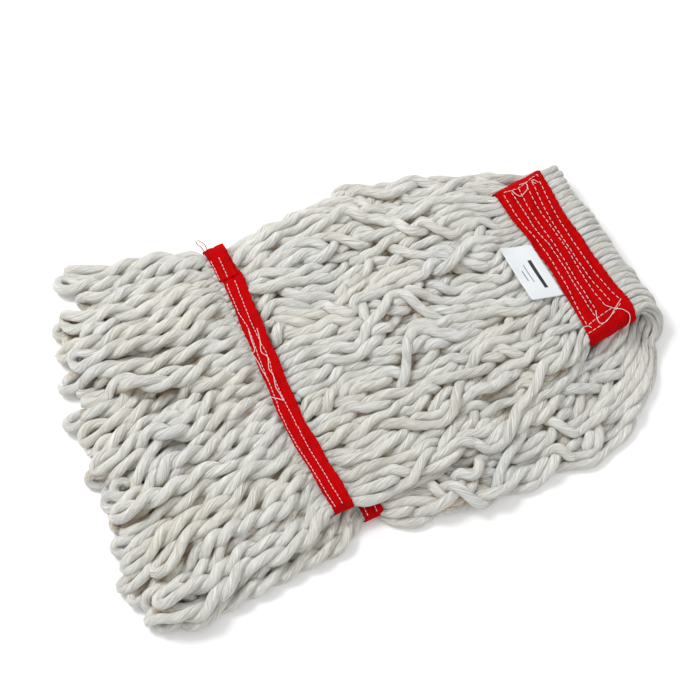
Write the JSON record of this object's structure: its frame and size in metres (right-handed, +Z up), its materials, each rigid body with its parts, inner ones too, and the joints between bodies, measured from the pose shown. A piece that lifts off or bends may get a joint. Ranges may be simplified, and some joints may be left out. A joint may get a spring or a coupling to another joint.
{
  "type": "string mop",
  "caption": "Looped-end string mop head of cotton cord: stitched head band, folded in half, with narrow tail bands and a fringe of loops on both halves.",
  "frame": {"origin": "on the floor, under the middle of the folded mop's outline", "axes": "+X towards the fold and the head band, +Y to the far side of the hanks, +Z up"},
  "size_m": [0.4835, 0.3395, 0.036],
  "materials": {
    "cotton_yarn": "soft four-ply cotton cord, matt",
    "red_tape": "woven polyester tape, slight sheen",
    "white_thread": "twisted sewing thread",
    "satin_label": "woven satin, soft sheen, plain printed bars"
  },
  "bodies": {
    "lower_half": {"lower_yarn_1": "cotton_yarn", "lower_yarn_2": "cotton_yarn", "lower_yarn_3": "cotton_yarn", "lower_yarn_4": "cotton_yarn", "lower_yarn_5": "cotton_yarn", "lower_yarn_6": "cotton_yarn", "lower_yarn_7": "cotton_yarn", "lower_yarn_8": "cotton_yarn", "fold_yarn_1": "cotton_yarn", "fold_yarn_2": "cotton_yarn", "fold_yarn_3": "cotton_yarn", "fold_yarn_4": "cotton_yarn", "fold_yarn_5": "cotton_yarn", "fold_yarn_6": "cotton_yarn", "fold_yarn_7": "cotton_yarn", "fold_yarn_8": "cotton_yarn", "lower_tail_band": "red_tape", "lower_tail_stitch_1": "white_thread", "lower_tail_stitch_2": "white_thread"},
    "upper_half": {"head_band": "red_tape", "head_stitch_row_1": "white_thread", "head_stitch_row_2": "white_thread", "head_stitch_row_3": "white_thread", "head_stitch_row_4": "white_thread", "head_stitch_row_5": "white_thread", "head_stitch_row_6": "white_thread", "head_end_stitch_near": "white_thread", "head_end_stitch_far": "white_thread", "upper_tail_band": "red_tape", "upper_tail_stitch_1": "white_thread", "upper_tail_stitch_2": "white_thread", "upper_yarn_1": "cotton_yarn", "upper_yarn_2": "cotton_yarn", "upper_yarn_3": "cotton_yarn", "upper_yarn_4": "cotton_yarn", "upper_yarn_5": "cotton_yarn", "upper_yarn_6": "cotton_yarn", "upper_yarn_7": "cotton_yarn", "upper_yarn_8": "cotton_yarn"},
    "upper_fringe": {"upper_loops_1": "cotton_yarn", "upper_loops_2": "cotton_yarn", "upper_loops_3": "cotton_yarn", "upper_loops_4": "cotton_yarn", "upper_loops_5": "cotton_yarn", "upper_loops_6": "cotton_yarn", "upper_loops_7": "cotton_yarn", "upper_loops_8": "cotton_yarn"},
    "lower_fringe": {"lower_loops_1": "cotton_yarn", "lower_loops_2": "cotton_yarn", "lower_loops_3": "cotton_yarn", "lower_loops_4": "cotton_yarn", "lower_loops_5": "cotton_yarn", "lower_loops_6": "cotton_yarn", "lower_loops_7": "cotton_yarn", "lower_loops_8": "cotton_yarn"},
    "label": {"care_label": "satin_label"}
  },
  "joints": [
    {"name": "mop_fold", "type": "hinge", "parent": "lower_half", "child": "upper_half", "pos_m": [0.2245, -0.032, 0.0175], "axis": [0, 1, 0], "range_deg": [0, 180], "deforming": ["fold_yarn_1", "fold_yarn_2", "fold_yarn_3", "fold_yarn_4", "fold_yarn_5", "fold_yarn_6", "fold_yarn_7", "fold_yarn_8"]},
    {"name": "upper_fringe_flop", "type": "hinge", "parent": "upper_half", "child": "upper_fringe", "pos_m": [-0.06416, 0.00246, 0.028], "axis": [0.0854, 0.9963, 0], "range_deg": [0, 90]},
    {"name": "lower_fringe_flop", "type": "hinge", "parent": "lower_half", "child": "lower_fringe", "pos_m": [-0.04466, -0.01054, 0], "axis": [0.0854, 0.9963, 0], "range_deg": [-90, 0]},
    {"name": "label_flap", "type": "hinge", "parent": "upper_half", "child": "label", "pos_m": [0.174, -0.031, 0.03555], "axis": [0, 1, 0], "range_deg": [0, 110]}
  ]
}
